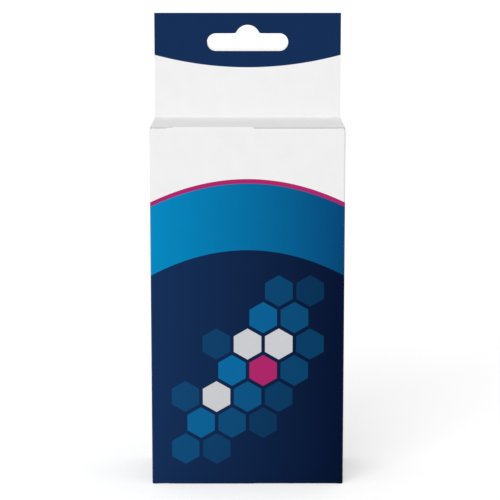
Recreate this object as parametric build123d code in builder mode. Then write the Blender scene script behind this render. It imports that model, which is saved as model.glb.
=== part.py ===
"""Sealed hang-tab carton, in millimetres.

One die-cut sheet of board, folded into a rectangular tube and glued shut at both ends.
The fifth panel laps over the back, rises past the top as a hang tab, rolls over at its head,
comes down again in front and folds forward as the top flap. So the tab is two boards thick,
and a euro slot goes through both.

Frame: origin at the middle of the base, +Z up, front panel towards -Y, back panel towards +Y.
"""

import os

from build123d import *

# Driving dimensions
BODY_WIDTH = 74.2
BODY_DEPTH = 39.0
BODY_HEIGHT = 139.5
TAB_HEIGHT = 41.2
BOARD = 0.6
WALL_FOLD_RADIUS = 0.8
SIDE_FLAP_FOLD_RADIUS = 0.7
FRONT_FLAP_FOLD_RADIUS = 0.75
TAB_CREASE_RADIUS = 0.4

# Cut edges stand back from the folds beside them, and glued boards press into each other a little
CUT_SETBACK = 0.3
LAP_SETBACK = 1.2
GLUE_BITE = 0.05

# Euro slot: a bar with round ends, and a hump above it that centres the peg. Each board has its own
# die-cut slot, and the rear one lands a little higher when the head is folded over.
SLOT_WIDTH = 32.0
SLOT_BAR_HEIGHT = 6.9
SLOT_FULL_HEIGHT = 10.2
SLOT_HUMP_RADIUS = 4.8
SLOT_NECK_RADIUS = 0.6
SLOT_FOOT_BELOW_HEAD = 14.95
REAR_SLOT_RISE = 1.0

# Places worked out from the driving dimensions
HALF_WIDTH = BODY_WIDTH / 2
FRONT_Y = -BODY_DEPTH / 2
BACK_Y = BODY_DEPTH / 2
LAP_X = -HALF_WIDTH + LAP_SETBACK
LAP_Y = BACK_Y - BOARD
TAB_FRONT_Y = LAP_Y - BOARD
HEAD_Z = BODY_HEIGHT + TAB_HEIGHT
TOP_FLAP_FRONT_Y = FRONT_Y + CUT_SETBACK
TOP_FLAP_FOOT_Z = BODY_HEIGHT - BOARD
BOTTOM_FLAP_BACK_Y = LAP_Y - CUT_SETBACK
TUBE_FOOT_Z = BOARD - GLUE_BITE
TUBE_HEIGHT = BODY_HEIGHT - 2 * TUBE_FOOT_Z
CUT_WIDTH = BODY_WIDTH - 2 * CUT_SETBACK
FRONT_SLOT_FOOT_Z = HEAD_Z - SLOT_FOOT_BELOW_HEAD
REAR_SLOT_FOOT_Z = FRONT_SLOT_FOOT_Z + REAR_SLOT_RISE

with BuildPart() as carton:
    # Tube: seen from above, the sheet runs round four walls, and its fifth panel laps over the back
    with BuildSketch(Plane.XY.offset(TUBE_FOOT_Z)) as tube_plan:
        with BuildLine():
            Polyline(
                (-HALF_WIDTH, FRONT_Y),
                (HALF_WIDTH, FRONT_Y),
                (HALF_WIDTH, BACK_Y),
                (LAP_X, BACK_Y),
                (LAP_X, LAP_Y),
                (-HALF_WIDTH, LAP_Y),
                close=True,
            )
        make_face()
        left_and_right = tube_plan.vertices().group_by(Axis.X)
        fillet(left_and_right[0] + left_and_right[-1], WALL_FOLD_RADIUS)
    extrude(amount=TUBE_HEIGHT)

    # Side flaps: their folds round the left and right rims at both ends of the tube
    with BuildSketch(Plane.XZ.offset(-BODY_DEPTH)) as side_folds:
        with Locations((0, BODY_HEIGHT / 2)):
            Rectangle(BODY_WIDTH, TUBE_HEIGHT)
        fillet(side_folds.vertices(), SIDE_FLAP_FOLD_RADIUS)
    extrude(amount=2 * BODY_DEPTH, mode=Mode.INTERSECT)

    # Inner top flap: its fold rounds the front rim at the top
    with BuildSketch(Plane.YZ.offset(-BODY_WIDTH)) as front_fold:
        with Locations((0, BODY_HEIGHT / 2)):
            Rectangle(BODY_DEPTH, TUBE_HEIGHT)
        fillet(front_fold.vertices().group_by(Axis.X)[0].sort_by(Axis.Y)[-1], FRONT_FLAP_FOLD_RADIUS)
    extrude(amount=2 * BODY_WIDTH, mode=Mode.INTERSECT)

    # Bottom flap, glued over the inner ones: it hinges at the front, and its other three edges are cut
    with BuildSketch(Plane.XY):
        with Locations((0, (FRONT_Y + BOTTOM_FLAP_BACK_Y) / 2)):
            Rectangle(CUT_WIDTH, BOTTOM_FLAP_BACK_Y - FRONT_Y)
    extrude(amount=BOARD)
    base_front_fold = carton.edges().filter_by(Axis.X).group_by(Axis.Z)[0].sort_by(Axis.Y)[0]
    fillet(base_front_fold, BOARD - GLUE_BITE)

    # Hang tab and top flap, one strip of the sheet: up the back, over the head in one roll, down the
    # front, and forward over the top from a soft crease to the flap's cut edge
    with BuildSketch(Plane.YZ) as strip_side:
        with BuildLine():
            rear = Line((BACK_Y, TOP_FLAP_FOOT_Z), (BACK_Y, HEAD_Z - BOARD))
            roll = ThreePointArc(rear @ 1, (LAP_Y, HEAD_Z), (TAB_FRONT_Y, HEAD_Z - BOARD))
            Polyline(
                roll @ 1,
                (TAB_FRONT_Y, BODY_HEIGHT),
                (TOP_FLAP_FRONT_Y, BODY_HEIGHT),
                (TOP_FLAP_FRONT_Y, TOP_FLAP_FOOT_Z),
                rear @ 0,
            )
        make_face()
        crease = strip_side.vertices().sort_by_distance((TAB_FRONT_Y, BODY_HEIGHT, 0))[0]
        fillet(crease, TAB_CREASE_RADIUS)
    extrude(amount=CUT_WIDTH / 2, both=True)

    # Euro slot, cut from the back of each board of the tab towards its front
    for board_back_y, slot_foot_z in ((LAP_Y, FRONT_SLOT_FOOT_Z), (BACK_Y, REAR_SLOT_FOOT_Z)):
        with BuildSketch(Plane.XZ.offset(-board_back_y)) as euro_slot:
            with Locations((0, slot_foot_z + SLOT_BAR_HEIGHT / 2)):
                SlotOverall(SLOT_WIDTH, SLOT_BAR_HEIGHT)
            with Locations((0, slot_foot_z + SLOT_FULL_HEIGHT - SLOT_HUMP_RADIUS)):
                Circle(SLOT_HUMP_RADIUS)
            necks = euro_slot.vertices().filter_by_position(Axis.X, -SLOT_HUMP_RADIUS, SLOT_HUMP_RADIUS)
            fillet(necks, SLOT_NECK_RADIUS)
        extrude(amount=BOARD, mode=Mode.SUBTRACT)

carton.part.label = "carton"

os.makedirs("parts", exist_ok=True)
export_step(carton.part, "parts/carton.step")
print("carton", carton.part.bounding_box().size, "solids", len(carton.part.solids()))
print("slot foot, front and rear board", FRONT_SLOT_FOOT_Z, REAR_SLOT_FOOT_Z)
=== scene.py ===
# %% [markdown]
# A sealed hang-tab carton
#
# The object is a small retail carton of the kind that hangs on a shop peg. It is one sheet of white
# board: printed flat, die-cut, folded into a rectangular tube and glued shut at both ends. A fifth
# panel laps over the back and rises past the top as a hang tab, two boards thick, with a euro slot.
# This lesson gives the solid model its looks. The skin, the folds and the cut edges are made as
# surfaces, and the print is worked out in the shader, so nothing is read from a picture.

# %% Load the frame
import math

import bpy
import numpy as np
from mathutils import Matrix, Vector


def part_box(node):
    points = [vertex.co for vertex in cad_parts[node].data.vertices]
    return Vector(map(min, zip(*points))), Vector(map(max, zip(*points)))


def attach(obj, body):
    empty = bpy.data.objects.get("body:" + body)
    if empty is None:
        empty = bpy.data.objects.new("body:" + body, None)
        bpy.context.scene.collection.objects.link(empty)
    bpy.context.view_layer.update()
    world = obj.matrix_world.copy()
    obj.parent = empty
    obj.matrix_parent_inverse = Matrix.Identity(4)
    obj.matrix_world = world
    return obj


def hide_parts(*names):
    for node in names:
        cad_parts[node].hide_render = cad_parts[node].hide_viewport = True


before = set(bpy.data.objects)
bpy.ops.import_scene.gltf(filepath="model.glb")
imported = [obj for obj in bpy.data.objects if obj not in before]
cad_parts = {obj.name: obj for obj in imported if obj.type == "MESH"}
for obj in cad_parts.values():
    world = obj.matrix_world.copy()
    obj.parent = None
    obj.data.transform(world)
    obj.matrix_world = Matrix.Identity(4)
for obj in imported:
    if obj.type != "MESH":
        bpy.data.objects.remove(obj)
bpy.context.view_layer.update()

# %% [markdown]
# Sizes
#
# The frame gives the carton's outer box. What a box can't give is the height of the body below the
# tab, and the sizes of the board: how thick it is, how tightly it folds, and how far a cut edge stands
# back from the fold beside it. They are the same sizes that the solid model has, in millimetres.

# %% Sizes in millimetres
MM = 0.001
low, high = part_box("carton")
WIDTH, DEPTH, HEAD = (round(side / MM, 3) for side in high - low)
BODY_HEIGHT = 139.5
BOARD = 0.6
FOLD_RADIUS = 0.8
CUT_SETBACK = 0.3
LAP_SETBACK = 1.2
GLUE_BITE = 0.05
HALF_WIDTH = WIDTH / 2
CUT_HALF_WIDTH = HALF_WIDTH - CUT_SETBACK
FRONT = -DEPTH / 2
BACK = DEPTH / 2
LAP = BACK - BOARD
TUBE_FOOT = BOARD - GLUE_BITE
TUBE_TOP = BODY_HEIGHT - TUBE_FOOT
print("carton", WIDTH, "wide", DEPTH, "deep", BODY_HEIGHT, "to the top flap", HEAD, "to the tab's head")

# %% [markdown]
# Camera
#
# The photograph looks at the front from a little above, with a long lens, so that the top panel
# shows as a narrow strip and the sides don't show at all. Place, tilt and lens were worked out from
# where the carton's corners fall in the picture, and then written down as plain sizes.

# %% Camera
CAMERA_PLACE = (0.94, -727.5, 212.3)
CAMERA_DIP_DEGREES = 9.61
LENS = 135.5

lens = bpy.data.cameras.new("camera")
lens.lens = LENS
camera = bpy.data.objects.new("camera", lens)
camera.location = np.array(CAMERA_PLACE) * MM
camera.rotation_euler = (math.radians(90 - CAMERA_DIP_DEGREES), 0, 0)
bpy.context.scene.collection.objects.link(camera)
bpy.context.scene.camera = camera
print("camera", CAMERA_PLACE, "dips", CAMERA_DIP_DEGREES, "degrees, lens", LENS)

# %% [markdown]
# From a grid of points to a piece
#
# Every piece here is a stack of closed rings of points, held in one array of shape (rows, columns, 3).
# Neighbouring rings are joined by quads. A stack either closes on itself, like a tyre, or ends in a
# point at the middle of each end, like a pillbox. Blender's own tools could bridge the rings too, but
# a rule for the corners of each quad says at once which way every face points.

# %% Faces between rings
def ring_quads(rows, columns, closed):
    """Quads between rings: point (i, j) joins (i, j + 1), (i + 1, j + 1) and (i + 1, j)."""
    i = np.arange(rows if closed else rows - 1)[:, None]
    j = np.arange(columns)[None, :]
    i_next = (i + 1) % rows
    j_next = (j + 1) % columns
    corners = (i * columns + j, i * columns + j_next, i_next * columns + j_next, i_next * columns + j)
    return np.stack(np.broadcast_arrays(*corners), axis=-1).reshape(-1, 4)


def pole_triangles(first, columns, pole):
    """Triangles from one pole to each pair of neighbours on the ring that starts at index first."""
    j = np.arange(columns)
    j_next = (j + 1) % columns
    return np.stack([np.full(columns, pole), first + j, first + j_next], axis=-1)


print("two rings of three points:", ring_quads(2, 3, closed=False).tolist())

# %% [markdown]
# Each point also carries marks that the print reads later: whether it lies on a cut edge, how far
# through the board it lies there, whether it lies on a fold, and whether it lies on the board's
# unprinted inside. A closed piece whose faces point outwards encloses a volume above zero, so the
# volume is printed with each piece as a test.

# %% A mesh from points and faces
SHARP_DEGREES = 35


def enclosed_volume(points, faces):
    """Sum of a . (b x c) / 6 over the triangles of each face: positive where faces point outwards."""
    total = 0.0
    for face in faces:
        for second in range(1, face.shape[1] - 1):
            a, b, c = points[face[:, 0]], points[face[:, second]], points[face[:, second + 1]]
            total += np.einsum("ij,ij->", a, np.cross(b, c)) / 6
    return total


def make_piece(name, points, faces, marks):
    """Puts points in millimetres and faces into a mesh, with marks as point attributes, on the carton."""
    mesh = bpy.data.meshes.new(name)
    mesh.from_pydata((points * MM).tolist(), [], [row for face in faces for row in face.tolist()])
    for mark, values in marks.items():
        layer = mesh.attributes.new(mark, "FLOAT", "POINT")
        layer.data.foreach_set("value", values.reshape(-1).astype(np.float32))
    mesh.shade_smooth()
    mesh.set_sharp_from_angle(angle=math.radians(SHARP_DEGREES))
    piece = bpy.data.objects.new(name, mesh)
    bpy.context.scene.collection.objects.link(piece)
    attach(piece, "root")
    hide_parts("carton")
    print(name, len(points), "points", round(enclosed_volume(points, faces)), "cubic millimetres")
    return piece


# %% A stack of rings with closed ends
def pillbox(name, rings, poles, marks):
    """A stack of rings, closed at the foot and at the top by a point in the middle."""
    rows, columns = rings.shape[:2]
    points = np.concatenate([rings.reshape(-1, 3), np.asarray(poles)])
    foot_pole = rows * columns
    faces = [
        ring_quads(rows, columns, closed=False),
        pole_triangles(0, columns, foot_pole)[:, ::-1],
        pole_triangles((rows - 1) * columns, columns, foot_pole + 1),
    ]
    at_points = {mark: np.append(values, [0, 0]) for mark, values in marks.items()}
    return make_piece(name, points, faces, at_points)


# %% [markdown]
# The folded tube
#
# Seen from above, the sheet runs round four walls with a soft fold at each corner. On the left of the
# back, the fifth panel ends in a cut edge that lies on the panel below it, so the outline has a small
# step there. One way to make the tube is a box with bevelled edges. A real carton isn't a box, though:
# its walls swell a little between the folds, its rims turn in where the flaps fold over, and the front
# runs down to the ground where the bottom flap starts. So the outline is carried up a profile whose
# roll at each end depends on where along the outline it is.

# %% Stretches of an outline
def run(start, end, count):
    """Straight stretch: start + t (end - start), t = (1 - cos(pi k / count)) / 2, crowded at its ends."""
    t = (1 - np.cos(np.pi * np.arange(count) / count)) / 2
    return np.asarray(start) + t[:, None] * (np.asarray(end) - np.asarray(start))


def turn(centre, radius, first_degrees, count):
    """Quarter turn: centre + radius (cos a, sin a), where a grows by 90 degrees from the first angle."""
    a = np.radians(first_degrees + 90 * np.arange(count) / count)
    return np.asarray(centre) + radius * np.stack([np.cos(a), np.sin(a)], axis=-1)


def crown(count):
    """How far up its swell each point of a stretch is: 1 - s s, where s runs from -1 to 1 along it. The
    points lie at s = -cos(pi k / count), so that is sin(pi k / count) squared."""
    return np.sin(np.pi * np.arange(count) / count) ** 2


print("six points of a swell:", crown(6).round(2))

# %% Outline of the tube
FRONT_POINTS = 200
PANEL_POINTS = 40
FOLD_POINTS = 8
STEP_POINTS = 2
FRONT_SWELL = 0.35
SIDE_SWELL = 0.22
BACK_SWELL = 0.06
FLAT = (0, 0)

fold_x = HALF_WIDTH - FOLD_RADIUS
fold_front = FRONT + FOLD_RADIUS
fold_back = BACK - FOLD_RADIUS
fold_lap = LAP - FOLD_RADIUS
lap_x = -HALF_WIDTH + LAP_SETBACK
# Each stretch: its points, how far its middle swells in x and y, and whether it is a fold
stretches = [
    (run((-fold_x, FRONT), (fold_x, FRONT), FRONT_POINTS), (0, -FRONT_SWELL), False),
    (turn((fold_x, fold_front), FOLD_RADIUS, -90, FOLD_POINTS), FLAT, True),
    (run((HALF_WIDTH, fold_front), (HALF_WIDTH, fold_back), PANEL_POINTS), (SIDE_SWELL, 0), False),
    (turn((fold_x, fold_back), FOLD_RADIUS, 0, FOLD_POINTS), FLAT, True),
    (run((fold_x, BACK), (lap_x, BACK), PANEL_POINTS), (0, BACK_SWELL), False),
    (run((lap_x, BACK), (lap_x, LAP), STEP_POINTS), FLAT, False),
    (run((lap_x, LAP), (-fold_x, LAP), STEP_POINTS), FLAT, False),
    (turn((-fold_x, fold_lap), FOLD_RADIUS, 90, FOLD_POINTS), FLAT, True),
    (run((-HALF_WIDTH, fold_lap), (-HALF_WIDTH, fold_front), PANEL_POINTS), (-SIDE_SWELL, 0), False),
    (turn((-fold_x, fold_front), FOLD_RADIUS, 180, FOLD_POINTS), FLAT, True),
]
outline = np.concatenate([points for points, _, _ in stretches])
swell = np.concatenate([np.outer(crown(len(points)), middle) for points, middle, _ in stretches])
on_turn = np.concatenate([crown(len(points)) * is_fold for points, _, is_fold in stretches])
print("tube outline", len(outline), "points")

# %% [markdown]
# The rims turn in by a quarter circle. Along the front and the sides it is a real roll. Towards the
# back it fades to next to nothing, because the back panel goes straight on up. At the front corners a
# slit parts two flaps: the roll is tighter there, with a small dip at the top. At the foot the front
# reaches the ground, while the sides stop one board above it. The photograph shows one more thing at
# the top of the front: left of the middle the fold stands proud for some 30 mm and hides the flap's
# raw edge.

# %% Rims along the outline
RIM_RADIUS = 0.75
RIM_END_BEFORE_LAP = 1.0
RIM_FADE = 2.5
LEAST_ROLL = 0.1
CORNER_DIP = 0.4
CORNER_REACH = 4.0
CORNER_TIGHTNESS = 0.65
# Places along the front from left to right, and how far the fold stands proud at each
PROUD_X = (-30.8, -30.4, -28.4, -28.0, 2.0, 2.6)
PROUD_RISE = (0.0, 0.25, 0.25, 0.5, 0.5, 0.0)

outline_x, outline_y = outline[:, 0], outline[:, 1]
near_side = np.clip((np.abs(outline_x) - fold_x) / FOLD_RADIUS, 0, 1)
near_front = np.clip((fold_front - outline_y) / FOLD_RADIUS, 0, 1)
inward = np.stack([-near_side * np.sign(outline_x), near_front], axis=-1)
# 1 in the middle of a front corner, where the slit is, and 0 on the walls beside it
at_slit = 2 * near_side * near_front
from_corner = np.maximum(fold_x - np.abs(outline_x), 0) + np.maximum(outline_y - fold_front, 0)
tight = CORNER_TIGHTNESS * np.clip(1 - from_corner / CORNER_REACH, 0, 1) ** 2
proud = near_front * np.interp(outline_x, PROUD_X, PROUD_RISE)
rolled = np.clip((LAP - RIM_END_BEFORE_LAP - outline_y) / RIM_FADE, 0, 1)
rim = RIM_RADIUS * (1 - tight) * (1 - proud) * np.maximum(rolled, LEAST_ROLL)
top = TUBE_TOP - CORNER_DIP * at_slit + proud
foot = TUBE_FOOT * (1 - near_front) * (1 - tight)
print("rims roll with a radius of", rim.min().round(3), "to", rim.max().round(3))

# %% Rings up the walls
ROLL_STEPS = 7
WALL_STEPS = 48

# The top turns in by a quarter circle, the foot by the same one upside down, and the wall lies between
roll = np.linspace(0, math.pi / 2, ROLL_STEPS)[:, None]
climb = (1 - np.cos(np.pi * np.arange(1, WALL_STEPS) / WALL_STEPS))[:, None] / 2
turned_in = rim * (1 - np.cos(roll))
rise_left = rim * (1 - np.sin(roll))
wall_z = (foot + rim) + climb * ((top - rim) - (foot + rim))
inset = np.concatenate([turned_in[::-1], 0 * wall_z, turned_in])
ring_z = np.concatenate([(foot + rise_left)[::-1], wall_z, top - rise_left])
belly = np.sin(np.pi * np.clip((ring_z - foot) / (top - foot), 0, 1)) ** 2
plan = outline + inset[..., None] * inward + belly[..., None] * swell
walls = np.concatenate([plan, ring_z[..., None]], axis=-1)
print("walls", walls.shape[0], "rings, swelling to", np.abs(walls[..., 1]).max().round(2), "at the front")

# %% Folded tube
CAP_SHARE = 0.9


def cap_ring(ring, level):
    """The last ring of a hidden end: the wall's ring drawn in towards the middle, at one level."""
    return np.insert(ring * CAP_SHARE, 2, level, axis=-1)[None]


tube = np.concatenate([cap_ring(plan[0], TUBE_FOOT), walls, cap_ring(plan[-1], TUBE_TOP)])
on_roll = np.sin(2 * roll) * rolled
on_cap = 0 * on_roll[:1]
on_rim = np.concatenate([on_cap, on_roll[::-1], 0 * wall_z, on_roll, on_cap])
tube_marks = {
    "cut_edge": np.isclose(tube[..., 0], lap_x) & (tube[..., 1] > LAP - BOARD),
    "ply": (tube[..., 1] - LAP) / BOARD,
    "fold": np.maximum(on_rim, on_turn),
}
folded_tube = pillbox("folded_tube", tube, [(0, 0, TUBE_FOOT), (0, 0, TUBE_TOP)], tube_marks)

# %% [markdown]
# The outer end flaps
#
# The last flap to be glued down at each end shows its whole face, and its raw edges show as a pale
# line of bare board. The top flap hinges at the back, under the tab, so its cut edge runs along the
# front. The bottom one hinges at the front. A scaled cube would do for a slab, but its edges would be
# knife-sharp and its corners square. So each flap is a ring of points up a profile with a crisp cut
# edge, then rings that shrink to the middle of its face. Board is springy, so the top flap lifts a
# hair at its free corners.

# %% Outline of a flap
FLAP_CORNER = 0.35
FLAP_POINTS = 30
CORNER_POINTS = 4


def flap_outline(front, back):
    """Rectangle with round corners: four runs, each followed by a quarter turn, from the front left."""
    half = CUT_HALF_WIDTH - FLAP_CORNER
    near, far = front + FLAP_CORNER, back - FLAP_CORNER
    return np.concatenate([
        run((-half, front), (half, front), FLAP_POINTS),
        turn((half, near), FLAP_CORNER, -90, CORNER_POINTS),
        run((CUT_HALF_WIDTH, near), (CUT_HALF_WIDTH, far), FLAP_POINTS),
        turn((half, far), FLAP_CORNER, 0, CORNER_POINTS),
        run((half, back), (-half, back), FLAP_POINTS),
        turn((-half, far), FLAP_CORNER, 90, CORNER_POINTS),
        run((-CUT_HALF_WIDTH, far), (-CUT_HALF_WIDTH, near), FLAP_POINTS),
        turn((-half, near), FLAP_CORNER, 180, CORNER_POINTS),
    ])


print("flap outline", len(flap_outline(FRONT, LAP)), "points")

# %% End flaps
TINY = 1e-6
CUT_BEVEL = 0.04
CORNER_LIFT = 0.04
MIDDLE_LIFT_SHARE = 0.25
# Rings on a face, as shares of the outline: one close to the edge, then evenly on to the middle
FACE_SHARES = np.concatenate([[0.995], np.linspace(0.97, 0.08, 14)])


def end_flap(name, front, back, hinge, foot_z, lift):
    """Slab of board: outline scaled about its middle, up a cut edge with a small bevel, plus a lift at
    the free front corners that grows as the square of the way forward and of the way to the side. The
    edge at the hinge isn't cut."""
    middle = np.array([0, (front + back) / 2])
    bevelled = 1 - CUT_BEVEL / CUT_HALF_WIDTH
    shares = np.concatenate([FACE_SHARES[::-1], [bevelled, 1, 1, bevelled], FACE_SHARES])
    under_face = np.zeros(len(FACE_SHARES) + 1)
    levels = np.concatenate([under_face, [CUT_BEVEL, BOARD - CUT_BEVEL], under_face + BOARD])
    plan = middle + shares[:, None, None] * (flap_outline(front, back) - middle)
    forward = np.clip((middle[1] - plan[..., 1]) / (middle[1] - front), 0, 1)
    sideways = plan[..., 0] / CUT_HALF_WIDTH
    lifted = lift * forward ** 2 * (MIDDLE_LIFT_SHARE + (1 - MIDDLE_LIFT_SHARE) * sideways ** 2)
    rings = np.concatenate([plan, (foot_z + levels[:, None] + lifted)[..., None]], axis=-1)
    poles = [(*middle, foot_z), (*middle, foot_z + BOARD)]
    through = np.broadcast_to(levels[:, None] / BOARD, rings.shape[:2])
    between_faces = (through > TINY) & (through < 1 - TINY)
    cut = between_faces & (np.abs(plan[..., 1] - hinge) > FLAP_CORNER)
    return pillbox(name, rings, poles, {"cut_edge": cut, "ply": through})


top_front = FRONT + CUT_SETBACK
bottom_front = FRONT + RIM_RADIUS
top_flap = end_flap("top_flap", top_front, LAP, LAP, BODY_HEIGHT - BOARD, CORNER_LIFT)
bottom_flap = end_flap("bottom_flap", bottom_front, LAP - CUT_SETBACK, bottom_front, 0, 0)

# %% [markdown]
# The hang tab
#
# The tab is the back panel going on up, rolled over at its head and glued down in front, so it is two
# boards thick. Each board was die-cut flat with its own euro slot, and the fold never lands them quite
# together: a sliver of the rear board's bare inside shows along the foot of the slot. A boolean would
# cut the slot, but the whole tab is also one closed surface, like a tyre pulled flat. Its rings run
# round the tab's edge from front to rear, in across the rear face, forward through the slot and out
# across the front face. So first comes the slot's rim, as a distance from its middle in each direction.

# %% Rim of the euro slot
SLOT_WIDTH = 32.0
SLOT_BAR = 6.9
SLOT_FULL_HEIGHT = 10.2
SLOT_HUMP = 4.8
SLOT_NECK = 1.0


def slot_reach(cosine, sine):
    """How far the slot's rim is from the middle of its bar. The bar reaches r / |sin| where the ray meets
    its straight side and a |cos| + sqrt(r r - a a sin sin) where it meets a round end: r is half its
    height and a half its straight length. The hump, of radius R about a middle h higher, reaches
    h sin + sqrt(R R - h h cos cos). Over the bar's middle the larger one counts, with a soft change
    between them, and under it the bar alone."""
    r = SLOT_BAR / 2
    a = SLOT_WIDTH / 2 - r
    h = SLOT_FULL_HEIGHT - SLOT_HUMP - r
    side = r / np.maximum(np.abs(sine), TINY)
    round_end = a * np.abs(cosine) + np.sqrt(np.maximum(r * r - (a * sine) ** 2, 0))
    bar = np.where(side * np.abs(cosine) <= a, side, round_end)
    hump = h * sine + np.sqrt(SLOT_HUMP ** 2 - (h * cosine) ** 2)
    larger = (bar + hump + np.sqrt((bar - hump) ** 2 + SLOT_NECK ** 2 / 4)) / 2
    return np.where(sine > 0, larger, bar)


print("slot reaches", slot_reach(np.array([1, 0, 0]), np.array([0, 1, -1])).round(2), "sideways, up and down")

# %% Rays from the slot's middle to the tab's rim
SLOT_FOOT_BELOW_HEAD = 14.95
SLOT_ANGLES = 360

slot_middle = HEAD - SLOT_FOOT_BELOW_HEAD + SLOT_BAR / 2
tab_over_slot = HEAD - slot_middle
tab_under_slot = slot_middle - BODY_HEIGHT
corner_angles = np.arctan2(
    [tab_over_slot, tab_over_slot, -tab_under_slot, -tab_under_slot],
    [CUT_HALF_WIDTH, -CUT_HALF_WIDTH, -CUT_HALF_WIDTH, CUT_HALF_WIDTH],
)
even_angles = np.linspace(-math.pi, math.pi, SLOT_ANGLES, endpoint=False)
# Clockwise as seen from the front, so that the faces point outwards
angles = np.sort(np.concatenate([even_angles, corner_angles]))[::-1]
cosine, sine = np.cos(angles), np.sin(angles)
ray = np.stack([cosine, sine], axis=-1)
slot_rim = slot_reach(cosine, sine)[:, None] * ray
to_side = CUT_HALF_WIDTH / np.maximum(np.abs(cosine), TINY)
to_end = np.where(sine > 0, tab_over_slot, tab_under_slot) / np.maximum(np.abs(sine), TINY)
tab_rim = np.minimum(to_side, to_end)[:, None] * ray
print("slot rim", len(angles), "points", np.ptp(slot_rim, axis=0).round(2))

# %% [markdown]
# Round the tab's edge the rings follow half a circle from the front face to the rear one. Along the
# head that half circle is the roll itself. Along the cut sides the same rings lie flat on the two raw
# edges, apart from a small bevel at each face and a fine groove where the boards meet.

# %% Rings round the tab's edge
EDGE_BEVEL = 0.05

# From the line between the boards to a face, with the rings closer together near the line
quarter_degrees = np.array([0, 6, 16, 30, 45, 62, 78, 90])
edge_degrees = np.concatenate([-quarter_degrees[:0:-1], quarter_degrees])
edge_y = LAP + BOARD * np.sin(np.radians(edge_degrees))
edge_drop = BOARD * (1 - np.cos(np.radians(edge_degrees)))
edge_bevel = EDGE_BEVEL * np.isin(edge_degrees, (-90, 0, 90))

on_head = tab_rim[:, 1] > tab_over_slot - TINY
on_foot = tab_rim[:, 1] < -tab_under_slot + TINY
on_side = np.abs(tab_rim[:, 0]) > CUT_HALF_WIDTH - TINY
on_cut_side = on_side & ~on_head
on_rear = (edge_degrees > 0)[:, None]
edge_x = tab_rim[:, 0] - edge_bevel[:, None] * np.sign(tab_rim[:, 0]) * on_cut_side
edge_z = tab_rim[:, 1] - edge_drop[:, None] * np.maximum(tab_rim[:, 1] / tab_over_slot, 0)
# Behind the top flap the rear board goes on down to the top of the tube
edge_z = np.where(on_foot & on_rear, TUBE_TOP - slot_middle, edge_z)
edge_rings = np.stack([edge_x, edge_y[:, None] + 0 * edge_x, edge_z], axis=-1)
print("tab edge", len(edge_rings), "rings")

# %% Rings through the slot
REAR_SLOT_RISE = 1.0
GROOVE = EDGE_BEVEL / 4

bevelled_rim = slot_rim * (1 + EDGE_BEVEL / np.linalg.norm(slot_rim, axis=1, keepdims=True))
risen = np.array([0, REAR_SLOT_RISE])
slot_rows = [
    (bevelled_rim + risen, BACK),
    (slot_rim + risen, BACK - EDGE_BEVEL),
    (slot_rim + risen, LAP + GROOVE),
    (slot_rim + risen, LAP),
    (slot_rim, LAP),
    (slot_rim, LAP - GROOVE),
    (slot_rim, LAP - BOARD + EDGE_BEVEL),
    (bevelled_rim, LAP - BOARD),
]
slot_rings = np.stack([np.insert(rim_points, 1, depth, axis=-1) for rim_points, depth in slot_rows])
print("slot", len(slot_rings), "rings through", 2 * BOARD, "of board")

# %% [markdown]
# A few rings on each face, close to its rims, keep the smooth shading of the roll from spreading over
# the flat board. At its foot the front board folds forward and becomes the top flap, so a small hollow
# crease leads from the one into the other: a quarter circle of radius r, which at height h over the
# flap lies r - sqrt(r r - (r - h) (r - h)) forward.

# %% Rings across the faces
RIM_STEPS = np.array([0.03, 0.1, 0.2, 0.32, 0.8])


def face_rings(start_ring, end_ring):
    """Rings across a flat face: start + f (end - start), at short steps in from each of its rims and at a
    third and two thirds of the way."""
    way = end_ring - start_ring
    near = RIM_STEPS[:, None, None] / np.linalg.norm(way, axis=-1, keepdims=True)
    thirds = np.array([1, 2])[:, None, None] / 3 + 0 * near[:1]
    f = np.concatenate([near, thirds, 1 - near[::-1]])
    return start_ring + f * way


rear_face = face_rings(edge_rings[-1], slot_rings[0])
front_face = face_rings(slot_rings[-1], edge_rings[0])
tab_parts = (edge_rings, rear_face, slot_rings, front_face)
tab_rings = np.concatenate(tab_parts) + (0, 0, slot_middle)
through = np.abs(tab_rings[..., 1] - LAP) / BOARD
print("tab", tab_rings.shape[0], "rings of", tab_rings.shape[1], "points")

# %% Crease and hang tab
CREASE_RADIUS = 0.4

from_crease_top = np.clip(CREASE_RADIUS - (tab_rings[..., 2] - BODY_HEIGHT), 0, CREASE_RADIUS)
on_front_face = np.isclose(tab_rings[..., 1], LAP - BOARD)
tab_rings[..., 1] -= on_front_face * (CREASE_RADIUS - np.sqrt(CREASE_RADIUS ** 2 - from_crease_top ** 2))

in_slot = np.repeat([False, False, True, False], [len(part) for part in tab_parts])[:, None]
at_ply_line = through < TINY
between_faces = through < 1 - TINY
tab_marks = {
    "cut_edge": between_faces & np.where(in_slot, ~at_ply_line, on_cut_side),
    "inside_face": in_slot & at_ply_line,
    "ply": through,
    "fold": on_head * np.sqrt(np.clip(1 - through ** 2, 0, 1)) * ~in_slot,
}
tab_quads = ring_quads(*through.shape, closed=True)
hang_tab = make_piece("hang_tab", tab_rings.reshape(-1, 3), [tab_quads], tab_marks)

# %% [markdown]
# Shader maths as sums
#
# A print is a set of shapes, and a shape is a sum over coordinates: a point is inside a disc where its
# distance to the middle is under the radius. Wiring Math nodes for such sums by hand is slow to read.
# The class below wraps a socket, so that an ordinary Python expression adds the nodes that work it out.

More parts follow.
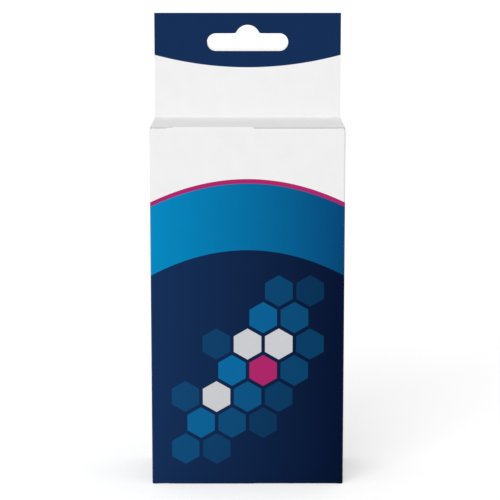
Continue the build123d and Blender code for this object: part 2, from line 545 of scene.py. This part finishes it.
# %% Terms of a shader
class Term:
    """A socket that stands for its value: an operator on terms and numbers adds the Math node for it."""

    def __init__(self, tree, socket):
        self.tree = tree
        self.socket = socket

    def node(self, kind, settings=None, sockets=None, output=0):
        """Any other node: settings first, then each socket gets a value or a link. Returns one output."""
        made = self.tree.nodes.new(kind)
        for setting, value in (settings or {}).items():
            if setting == "stops":
                for stop, (position, colour) in zip(made.color_ramp.elements, value):
                    stop.position = position
                    stop.color = colour
            else:
                setattr(made, setting, value)
        for name, value in (sockets or {}).items():
            if isinstance(value, Term):
                self.tree.links.new(value.socket, made.inputs[name])
            else:
                made.inputs[name].default_value = value
        return Term(self.tree, made.outputs[output])

    def work_out(self, operation, *numbers, clamp=False):
        """A Math node on terms and numbers, kept between 0 and 1 where clamp is set."""
        settings = {"operation": operation, "use_clamp": clamp}
        return self.node("ShaderNodeMath", settings, dict(enumerate(numbers)))

    def __add__(self, other):
        return self.work_out("ADD", self, other)

    def __radd__(self, other):
        return self.work_out("ADD", other, self)

    def __sub__(self, other):
        return self.work_out("SUBTRACT", self, other)

    def __rsub__(self, other):
        return self.work_out("SUBTRACT", other, self)

    def __mul__(self, other):
        return self.work_out("MULTIPLY", self, other)

    def __rmul__(self, other):
        return self.work_out("MULTIPLY", other, self)

    def __abs__(self):
        return self.work_out("ABSOLUTE", self)

    def at_least(self, least):
        """The larger of this and the least value."""
        return self.work_out("MAXIMUM", self, least)

    def above(self, edge, soft):
        """0 below the edge and 1 above it, with a straight change over the soft width."""
        return self.work_out("MULTIPLY_ADD", self - edge, 1 / soft, 0.5, clamp=True)

    def below(self, edge, soft):
        """1 below the edge and 0 above it."""
        return 1 - self.above(edge, soft)

    def between(self, lowest, highest, soft):
        """1 from the lowest value to the highest, and 0 outside them."""
        return self.above(lowest, soft) * self.below(highest, soft)

    def pick(self, under, over):
        """The first colour where this is 0, the second where it is 1, and a blend between."""
        return self.node("ShaderNodeMix", {"data_type": "RGBA"}, {0: self, 6: under, 7: over}, output=2)

    def feed(self, shader, name):
        """Links this to a shader's input."""
        self.tree.links.new(self.socket, shader.inputs[name])


# %% Colours and new materials
def ink(red, green, blue):
    """A colour given as it looks on screen, 0 to 255, as the linear colour that shaders use."""
    shown = np.array([red, green, blue]) / 255
    linear = np.where(shown <= 0.04045, shown / 12.92, ((shown + 0.055) / 1.055) ** 2.4)
    return (*linear.tolist(), 1.0)


def first_term(tree):
    """A term to start expressions from: the place of a point, in its object's own coordinates."""
    return Term(tree, tree.nodes.new("ShaderNodeTexCoord").outputs["Object"])


def new_material(name):
    """A node material with its shader, and a first term."""
    material = bpy.data.materials.new(name)
    material.use_nodes = True
    tree = material.node_tree
    return material, tree.nodes["Principled BSDF"], first_term(tree)


print("white of 241 on screen is", round(ink(241, 241, 241)[0], 3), "in the shader")

# %% [markdown]
# The print
#
# Cartons like this are printed in a few flat inks that fade across the sheet: a white head, a blue
# band, a dark field below, and one bright accent. The design here is a plain one of its own. Two wide
# arches part the fields, and a loose honeycomb of cells lies on the dark one. A picture wrapped round
# the carton would do too, but it has a limit to its sharpness. Here all edges are worked out in
# millimetres from the object's own coordinates, so the print stays crisp and stays on the board: the
# arches end level at the folds, and the fields go on round the sides and the back.

# %% Inks and layout
WHITE = ink(241, 241, 241)
NAVY_STOPS = [(0.0, ink(19, 47, 88)), (1.0, ink(1, 14, 45))]
BLUE_STOPS = [(0.0, ink(1, 137, 193)), (1.0, ink(1, 69, 118))]
TAB_NAVY = ink(17, 45, 86)
MAGENTA = ink(176, 38, 106)
INK_EDGE = 0.08

# Heights at the middle of a panel, and how far each edge falls or rises from there to the folds
HEADER_CROWN = 119.7
HEADER_SAG = 9.0
ACCENT_WIDTH = 1.7
FIELD_CROWN = 92.4
FIELD_SAG = 10.0
TAB_FIELD_OVER_FLAP = 19.8
TAB_FIELD_RISE = 5.0
print("arches", HEADER_CROWN, "and", FIELD_CROWN, "high, tab's field", TAB_FIELD_OVER_FLAP, "over the flap")

# %% Fields of colour
board, board_shader, place = new_material("printed_board")
x, y, z = (place.node("ShaderNodeSeparateXYZ", sockets={0: place}, output=axis) * (1 / MM) for axis in "XYZ")
across = x * (1 / WIDTH) + 0.5
from_middle = x * (1 / HALF_WIDTH)
bow = from_middle * from_middle

navy = place.node("ShaderNodeValToRGB", {"stops": NAVY_STOPS}, {0: across})
blue = place.node("ShaderNodeValToRGB", {"stops": BLUE_STOPS}, {0: across})
header_edge = HEADER_CROWN - bow * HEADER_SAG
field_edge = FIELD_CROWN - bow * FIELD_SAG
tab_edge = BODY_HEIGHT + TAB_FIELD_OVER_FLAP + bow * TAB_FIELD_RISE
printed = z.below(header_edge, INK_EDGE).pick(WHITE, blue)
printed = z.between(header_edge - ACCENT_WIDTH, header_edge, INK_EDGE).pick(printed, MAGENTA)
printed = z.below(field_edge, INK_EDGE).pick(printed, navy)
printed = z.above(tab_edge, INK_EDGE).pick(printed, TAB_NAVY)
print("fields printed: header, accent, band, field and tab")

# %% [markdown]
# The front alone carries the cells. A point lies in an upright hexagon where it is near enough to the
# middle both sideways and along the two slanting directions, so one function with two sums makes each
# cell. Most cells are a thin film of blue, a few are pale or bright.

# %% Layout of the honeycomb
CELL_PITCH = 12.0
CELL_HALF = 5.3
CELL_FOOT = 14.2
CELL_BLUE = ink(6, 112, 170)
CELL_PALE = ink(206, 208, 211)
# Each row from the foot up: column, colour and how strongly it is printed
CELL_ROWS = [
    [(-2, CELL_BLUE, 0.35), (-1, CELL_BLUE, 0.2)],
    [(-2, CELL_BLUE, 0.7), (-1, CELL_BLUE, 0.35), (0, CELL_BLUE, 0.15)],
    [(-2, CELL_BLUE, 0.25), (-1, CELL_PALE, 1.0), (0, CELL_BLUE, 0.5), (1, CELL_BLUE, 0.2)],
    [(-1, CELL_BLUE, 0.85), (0, MAGENTA, 1.0), (1, CELL_BLUE, 0.3)],
    [(-1, CELL_BLUE, 0.2), (0, CELL_PALE, 1.0), (1, CELL_PALE, 1.0), (2, CELL_BLUE, 0.25)],
    [(0, CELL_BLUE, 0.7), (1, CELL_BLUE, 0.4)],
    [(1, CELL_BLUE, 0.3), (2, CELL_BLUE, 0.15)],
]
SLANT = math.sqrt(3) / 2
row_pitch = CELL_PITCH * SLANT
print("cells in rows", round(row_pitch, 2), "apart:", [len(cells) for cells in CELL_ROWS])

# %% Honeycomb on the front
on_front = y.below(FRONT + 2 * FOLD_RADIUS, INK_EDGE)


def cell_gap(middle_x, middle_z):
    """Distance past the sides of an upright hexagon: the larger of |x| and |x| / 2 + |z| sqrt(3) / 2, less
    half its width."""
    sideways = abs(x - middle_x)
    slanting = sideways * 0.5 + abs(z - middle_z) * SLANT
    return sideways.at_least(slanting) - CELL_HALF


# Every other row is shifted by half a cell
for row, cells in enumerate(CELL_ROWS):
    for column, colour, strength in cells:
        gap = cell_gap((column + row % 2 / 2) * CELL_PITCH, CELL_FOOT + row * row_pitch)
        printed = (gap.below(0, INK_EDGE) * on_front * strength).pick(printed, colour)
print("cells printed:", sum(len(cells) for cells in CELL_ROWS))

# %% [markdown]
# The board
#
# Under the ink is clay-coated board. Its face is smooth with a faint grain, and varnish makes it satin.
# Ink never lies quite evenly on it, so the colours are mottled by a hundredth or two, and along the
# folds it is rubbed a little, in flecks. A cut edge is bare pulp: warmer, darker and rough, and greyer
# at its printed side, where the knife pressed it down. Where it lies on the next board, a line of glue
# shows. All of it comes from three noises and from the marks that the pieces carry, because a cut edge
# half a millimetre wide is too thin to be a piece of its own.

# %% Marks and noises
# Each noise: how many lumps to the metre, and how many finer layers over them
MOTTLE_NOISE = (160.0, 3.0)
GRAIN_NOISE = (2600.0, 4.0)
FLECK_NOISE = (700.0, 5.0)


def noise(scale, detail):
    """Smooth noise between 0 and 1, of this scale and detail, over the place of a point."""
    return place.node("ShaderNodeTexNoise", sockets={"Vector": place, "Scale": scale, "Detail": detail})


mottle = noise(*MOTTLE_NOISE)
grain = noise(*GRAIN_NOISE)
flecks = noise(*FLECK_NOISE)
cut, ply, inside, fold = (
    place.node("ShaderNodeAttribute", {"attribute_name": mark}, output="Fac")
    for mark in ("cut_edge", "ply", "inside_face", "fold")
)
print("noises of", [lumps for lumps, _ in (MOTTLE_NOISE, GRAIN_NOISE, FLECK_NOISE)], "lumps to the metre")

# %% Colour of the raw edges
PULP = ink(216, 213, 206)
PULP_FIBRE = ink(202, 198, 189)
COAT = ink(210, 209, 206)
GLUE_LINE = ink(150, 144, 132)
FIBRE_START = 0.55
COAT_START = 0.7
RAW_BLEND = 0.3
GLUE_END = 0.07

pulp = grain.above(FIBRE_START, RAW_BLEND).pick(PULP, PULP_FIBRE)
raw_edge = ply.above(COAT_START, RAW_BLEND).pick(pulp, COAT)
raw_edge = ply.below(GLUE_END, GLUE_END).pick(raw_edge, GLUE_LINE)
print("raw edge: glue line to", GLUE_END, "of the board, coat from", COAT_START)

# %% Colour of the printed faces
INSIDE_WHITE = ink(250, 250, 248)
RUBBED = ink(232, 231, 228)
MOTTLE = 0.05
RUB_START = 0.35
RUB_BLEND = 0.3
RUB_STRENGTH = 0.05
MARK_EDGE = 0.5
MARK_BLEND = 0.2

even = 1 + (mottle - 0.5) * MOTTLE
uneven = place.node("ShaderNodeVectorMath", {"operation": "SCALE"}, {"Vector": printed, "Scale": even})
rubbed = (fold - flecks).above(RUB_START, RUB_BLEND) * RUB_STRENGTH
coated = inside.above(MARK_EDGE, MARK_BLEND).pick(rubbed.pick(uneven, RUBBED), INSIDE_WHITE)
surface = cut.above(MARK_EDGE, MARK_BLEND).pick(coated, raw_edge)
print("ink mottled by", MOTTLE, "and rubbed by", RUB_STRENGTH, "on the folds")

# %% [markdown]
# The bump is a few hundredths of a millimetre high at most, which is what board has: it breaks up the
# sheen and nothing more. The sheen itself is the same all over, so it is set on the shader.

# %% Finish of the board
SATIN = 0.42
SATIN_DRIFT = 0.1
RAW_ROUGHNESS = 0.4
MOTTLE_RELIEF = 0.6
GRAIN_HEIGHT = 0.04
GRAIN_STRENGTH = 0.12
SHEEN_LEVEL = 0.03

roughness = SATIN + (mottle - 0.5) * SATIN_DRIFT + cut * RAW_ROUGHNESS
relief = {"Height": grain + mottle * MOTTLE_RELIEF, "Strength": GRAIN_STRENGTH, "Distance": GRAIN_HEIGHT * MM}
surface.feed(board_shader, "Base Color")
roughness.feed(board_shader, "Roughness")
place.node("ShaderNodeBump", sockets=relief).feed(board_shader, "Normal")
board_shader.inputs["Specular IOR Level"].default_value = SHEEN_LEVEL
for piece in (folded_tube, top_flap, bottom_flap, hang_tab):
    piece.data.materials.append(board)
print("board finish on", folded_tube.name, top_flap.name, bottom_flap.name, hang_tab.name)

# %% [markdown]
# Floor and light
#
# The photograph is a cut-out on white, lit flat from the front. A pale floor stands in for the white:
# it is lit like anything else, so it keeps the carton's soft shadow, and to the camera and in
# reflections it adds a little light of its own, more of it further out, so that it ends as plain white.
# The world behind it does the same: it lights the carton at a plain level, and shows as white. More
# light would make the floor white too, but it would bleach the carton with it.

# %% Floor
FLOOR_HALF = 8000.0
FLOOR_DROP = 0.02
FLOOR_COLOUR = (0.82, 0.82, 0.82, 1.0)
FLOOR_ROUGHNESS = 0.9

corners = np.array([(-1, -1, 0), (1, -1, 0), (1, 1, 0), (-1, 1, 0)]) * FLOOR_HALF - (0, 0, FLOOR_DROP)
floor_mesh = bpy.data.meshes.new("floor")
floor_mesh.from_pydata((corners * MM).tolist(), [], [(0, 1, 2, 3)])
floor = bpy.data.objects.new("floor", floor_mesh)
bpy.context.scene.collection.objects.link(floor)

pale_floor, floor_shader, floor_place = new_material("pale_floor")
floor_shader.inputs["Base Color"].default_value = FLOOR_COLOUR
floor_shader.inputs["Roughness"].default_value = FLOOR_ROUGHNESS
floor_shader.inputs["Specular IOR Level"].default_value = 0.0
floor_mesh.materials.append(pale_floor)
print("floor", FLOOR_HALF * 2, "wide")

# %% Glow of the floor
NEAR_GLOW = 0.40
FAR_GLOW = 0.56
GLOW_START = 150.0
GLOW_FULL = 2500.0


def showing(term):
    """1 for a ray that shows the background, straight to the camera, in a gloss or through glass, else 0."""
    camera_ray, glossy_ray, transmission_ray = (
        term.node("ShaderNodeLightPath", output=way)
        for way in ("Is Camera Ray", "Is Glossy Ray", "Is Transmission Ray")
    )
    return camera_ray.at_least(glossy_ray).at_least(transmission_ray)


length = floor_place.node("ShaderNodeVectorMath", {"operation": "LENGTH"}, {0: floor_place}, output="Value")
far = (length * (1 / MM)).above((GLOW_START + GLOW_FULL) / 2, GLOW_FULL - GLOW_START)
glow = NEAR_GLOW + far * (FAR_GLOW - NEAR_GLOW)
(glow * showing(floor_place)).feed(floor_shader, "Emission Color")
floor_shader.inputs["Emission Strength"].default_value = 1.0
print("floor glows from", NEAR_GLOW, "to", FAR_GLOW)

# %% World
WORLD_LIGHT = 0.62

world = bpy.data.worlds.new("studio")
world.use_nodes = True
backdrop = world.node_tree.nodes["Background"]
backdrop.inputs["Color"].default_value = (1, 1, 1, 1)
world_strength = WORLD_LIGHT + showing(first_term(world.node_tree)) * (1 - WORLD_LIGHT)
world_strength.feed(backdrop, "Strength")
bpy.context.scene.world = world
bpy.context.scene.view_settings.view_transform = "Standard"
print("world lights at", WORLD_LIGHT, "and shows as white")

# %% Softbox
KEY_PLACE = (-1100.0, -2600.0, 1700.0)
KEY_AIM = (0.0, 0.0, 80.0)
KEY_SIZE = 2100.0
KEY_WATTS = 47.5

key_light = bpy.data.lights.new("softbox", "AREA")
key_light.energy = KEY_WATTS
key_light.size = KEY_SIZE * MM
key = bpy.data.objects.new("softbox", key_light)
key.location = np.array(KEY_PLACE) * MM
aim = np.array(KEY_AIM) - np.array(KEY_PLACE)
level = math.hypot(aim[0], aim[1])
key.rotation_euler = (math.atan2(level, -aim[2]), 0, math.atan2(-aim[0], aim[1]))
bpy.context.scene.collection.objects.link(key)
print("softbox", KEY_WATTS, "watts,", round(math.hypot(*aim)), "from the carton")

# %% Update the view layer
bpy.context.view_layer.update()
